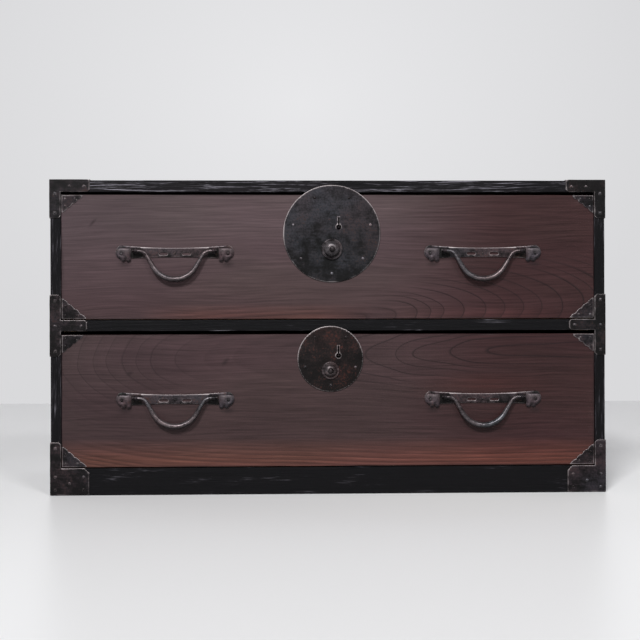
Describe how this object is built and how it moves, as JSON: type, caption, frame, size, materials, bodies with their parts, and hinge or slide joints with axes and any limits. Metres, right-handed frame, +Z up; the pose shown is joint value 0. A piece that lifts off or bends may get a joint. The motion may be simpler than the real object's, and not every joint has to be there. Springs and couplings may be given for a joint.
{
  "type": "clothing chest",
  "caption": "Low wooden clothing chest with a black lacquered case, long drawers, round lock plates, bail handles and nailed iron corners.",
  "frame": {"origin": "centre of the footprint of the overall box, on the floor", "axes": "+Z up, +X to the right along the chest's width, +Y to its back; the drawers face -Y"},
  "size_m": [0.9722, 0.4444, 0.5491],
  "materials": {
    "lacquered_frame_wood": "worn black lacquer over open grain",
    "drawer_front_wood": "wiped dark red-brown lacquer",
    "plain_wood": "bare, aged",
    "peg_wood": "bare",
    "forged_iron": "blackened, hand forged"
  },
  "bodies": {
    "carcass": {"left_side_panel": "lacquered_frame_wood", "right_side_panel": "lacquered_frame_wood", "top_board": "lacquered_frame_wood", "bottom_board": "plain_wood", "bottom_rail": "lacquered_frame_wood", "mid_rail": "lacquered_frame_wood", "dust_board": "plain_wood", "left_shelf_runner": "plain_wood", "right_shelf_runner": "plain_wood", "back_boards": "plain_wood", "back_board_pegs": "peg_wood", "strike_plates": "forged_iron", "frame_iron_nails": "forged_iron", "top_left_frame_iron": "forged_iron", "top_right_frame_iron": "forged_iron", "middle_left_frame_iron": "forged_iron", "middle_right_frame_iron": "forged_iron", "bottom_left_frame_iron": "forged_iron", "bottom_right_frame_iron": "forged_iron"},
    "upper_drawer": {"upper_drawer_front": "drawer_front_wood", "upper_drawer_left_side": "plain_wood", "upper_drawer_right_side": "plain_wood", "upper_drawer_back": "plain_wood", "upper_drawer_bottom": "plain_wood", "upper_drawer_pegs": "peg_wood", "upper_lock_plate": "forged_iron", "upper_knob_collar": "forged_iron", "upper_lock_case": "forged_iron", "upper_lock_spring": "forged_iron", "upper_left_backplate": "forged_iron", "upper_right_backplate": "forged_iron", "upper_handle_posts": "forged_iron", "upper_corner_irons": "forged_iron", "upper_drawer_nails": "forged_iron"},
    "upper_knob": {"upper_lock_knob": "forged_iron", "upper_lock_crank": "forged_iron"},
    "upper_bolt": {"upper_lock_bolt": "forged_iron"},
    "upper_left_handle": {"upper_left_bail": "forged_iron"},
    "upper_right_handle": {"upper_right_bail": "forged_iron"},
    "lower_drawer": {"lower_drawer_front": "drawer_front_wood", "lower_drawer_left_side": "plain_wood", "lower_drawer_right_side": "plain_wood", "lower_drawer_back": "plain_wood", "lower_drawer_bottom": "plain_wood", "lower_drawer_pegs": "peg_wood", "lower_lock_plate": "forged_iron", "lower_knob_collar": "forged_iron", "lower_lock_case": "forged_iron", "lower_lock_spring": "forged_iron", "lower_left_backplate": "forged_iron", "lower_right_backplate": "forged_iron", "lower_handle_posts": "forged_iron", "lower_corner_irons": "forged_iron", "lower_drawer_nails": "forged_iron"},
    "lower_knob": {"lower_lock_knob": "forged_iron", "lower_lock_crank": "forged_iron"},
    "lower_bolt": {"lower_lock_bolt": "forged_iron"},
    "lower_left_handle": {"lower_left_bail": "forged_iron"},
    "lower_right_handle": {"lower_right_bail": "forged_iron"}
  },
  "joints": [
    {"name": "upper_drawer_slide", "type": "slide", "parent": "carcass", "child": "upper_drawer", "axis": [0, -1, 0], "range_m": [0, 0.31]},
    {"name": "upper_knob_turn", "type": "hinge", "parent": "upper_drawer", "child": "upper_knob", "pos_m": [0.0045, -0.20225, 0.426], "axis": [0, 1, 0], "range_deg": [0, 50]},
    {"name": "upper_bolt_slide", "type": "slide", "parent": "upper_drawer", "child": "upper_bolt", "axis": [0, 0, 1], "range_m": [0, 0.01183]},
    {"name": "upper_left_bail_swing", "type": "hinge", "parent": "upper_drawer", "child": "upper_left_handle", "pos_m": [-0.268, -0.21325, 0.423], "axis": [-1, 0, 0], "range_deg": [-8, 180]},
    {"name": "upper_right_bail_swing", "type": "hinge", "parent": "upper_drawer", "child": "upper_right_handle", "pos_m": [0.268, -0.21325, 0.423], "axis": [-1, 0, 0], "range_deg": [-8, 180]},
    {"name": "lower_drawer_slide", "type": "slide", "parent": "carcass", "child": "lower_drawer", "axis": [0, -1, 0], "range_m": [0, 0.31]},
    {"name": "lower_knob_turn", "type": "hinge", "parent": "lower_drawer", "child": "lower_knob", "pos_m": [0.0015, -0.20225, 0.215], "axis": [0, 1, 0], "range_deg": [0, 50]},
    {"name": "lower_bolt_slide", "type": "slide", "parent": "lower_drawer", "child": "lower_bolt", "axis": [0, 0, 1], "range_m": [0, 0.01183]},
    {"name": "lower_left_bail_swing", "type": "hinge", "parent": "lower_drawer", "child": "lower_left_handle", "pos_m": [-0.268, -0.21325, 0.1685], "axis": [-1, 0, 0], "range_deg": [-8, 180]},
    {"name": "lower_right_bail_swing", "type": "hinge", "parent": "lower_drawer", "child": "lower_right_handle", "pos_m": [0.268, -0.21325, 0.1685], "axis": [-1, 0, 0], "range_deg": [-8, 180]}
  ],
  "couplings": [
    {"joint": "upper_knob_turn", "follows": "upper_bolt_slide", "rad_per_m": 73.746},
    {"joint": "lower_knob_turn", "follows": "lower_bolt_slide", "rad_per_m": 73.746}
  ]
}
